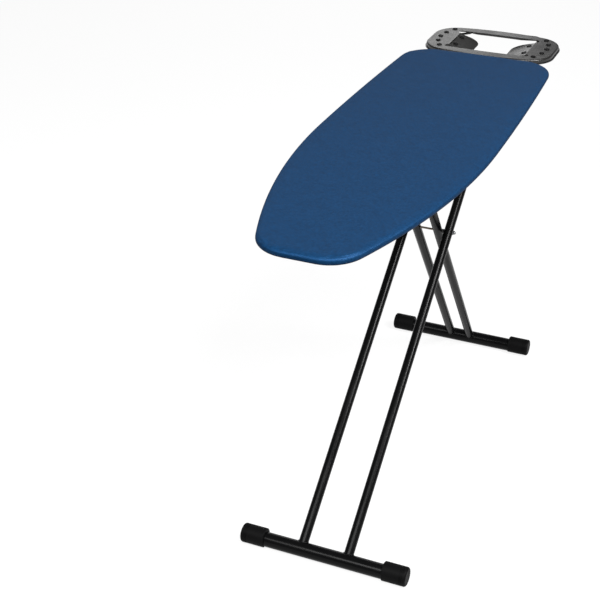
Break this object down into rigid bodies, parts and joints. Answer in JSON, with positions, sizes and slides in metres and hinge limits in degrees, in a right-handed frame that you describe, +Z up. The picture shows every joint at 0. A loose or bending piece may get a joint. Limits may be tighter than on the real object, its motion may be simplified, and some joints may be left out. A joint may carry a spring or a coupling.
{
  "type": "ironing board",
  "caption": "Free-standing ironing board: padded top on a steel deck, crossed folding tube legs, slide rack with release lever, stamped iron rest.",
  "frame": {"origin": "on the floor, under the middle of the standing board's outer box", "axes": "+Z up; +Y along the board towards the iron rest; +X across the board"},
  "size_m": [0.4088, 1.4535, 0.84],
  "materials": {
    "cover_fabric": "matte woven cotton",
    "pad_felt": "matte felt",
    "deck_steel": "satin powder coat",
    "leg_paint": "semi-gloss powder coat",
    "foot_plastic": "matte moulded",
    "plug_plastic": "matte moulded",
    "rest_paint": "satin enamel",
    "silicone": "matte",
    "wire_paint": "semi-gloss powder coat",
    "zinc_steel": "bright zinc plate",
    "rod_steel": "dull passivated zinc",
    "spring_steel": "drawn wire",
    "nylon": "matte moulded",
    "grip_plastic": "fine-textured moulded"
  },
  "bodies": {
    "board": {"board_cover": "cover_fabric", "bracket_rivets": "zinc_steel", "cross_brace_front": "deck_steel", "cross_brace_middle": "deck_steel", "cross_brace_nose": "deck_steel", "cross_brace_rear": "deck_steel", "cross_brace_wire": "deck_steel", "deck_mesh": "deck_steel", "deck_rim": "deck_steel", "flap_studs": "silicone", "hinge_bracket_left": "leg_paint", "hinge_bracket_right": "leg_paint", "hinge_pin_left": "zinc_steel", "hinge_pin_right": "zinc_steel", "rack_rail": "deck_steel", "rail_rivets": "zinc_steel", "rest_plate": "rest_paint", "rest_studs": "silicone", "rest_wire_frame": "wire_paint", "stiffener_left": "deck_steel", "stiffener_right": "deck_steel", "underlay_pad": "pad_felt", "wire_clips": "plug_plastic", "wire_saddles": "plug_plastic"},
    "outer_leg": {"outer_tube_left": "leg_paint", "outer_tube_right": "leg_paint", "outer_tube_plug_left": "plug_plastic", "outer_tube_plug_right": "plug_plastic", "front_foot_bar": "leg_paint", "front_foot_cap_left": "foot_plastic", "front_foot_cap_right": "foot_plastic", "scissor_rod": "rod_steel", "scissor_spacers": "plug_plastic", "scissor_washers": "zinc_steel", "scissor_nuts": "zinc_steel"},
    "inner_leg": {"inner_tube_left": "leg_paint", "inner_tube_right": "leg_paint", "inner_tube_plug_left": "plug_plastic", "inner_tube_plug_right": "plug_plastic", "rear_foot_bar": "leg_paint", "rear_foot_cap_left": "foot_plastic", "rear_foot_cap_right": "foot_plastic", "slide_rod": "zinc_steel", "slide_rod_caps": "plug_plastic", "slide_rod_spacer": "plug_plastic"},
    "slide_shoe": {"rail_shoe": "nylon"},
    "release_lever": {"lever_plate_left": "zinc_steel", "lever_plate_right": "zinc_steel", "pawl_pin": "zinc_steel", "lever_grip": "grip_plastic", "lever_spring": "spring_steel"}
  },
  "joints": [
    {"name": "leg_fold", "type": "hinge", "parent": "board", "child": "outer_leg", "pos_m": [0, 0.42445, 0.8073], "axis": [-1, 0, 0], "range_deg": [0, 37.2]},
    {"name": "scissor_pivot", "type": "hinge", "parent": "outer_leg", "child": "inner_leg", "pos_m": [0, 0.07269, 0.53015], "axis": [-1, 0, 0], "range_deg": [-88.95, 0]},
    {"name": "shoe_level", "type": "hinge", "parent": "inner_leg", "child": "slide_shoe", "pos_m": [0, -0.1348, 0.8073], "axis": [-1, 0, 0], "range_deg": [0, 51.75]},
    {"name": "lever_squeeze", "type": "hinge", "parent": "slide_shoe", "child": "release_lever", "pos_m": [0, -0.1348, 0.8073], "axis": [-1, 0, 0], "range_deg": [0, 12], "stiffness_Nm_per_rad": 0.8, "springref_deg": -20.05}
  ],
  "couplings": [
    {"joint": "scissor_pivot", "follows": "leg_fold", "ratio": -2.3909},
    {"joint": "shoe_level", "follows": "leg_fold", "ratio": 1.3909}
  ]
}
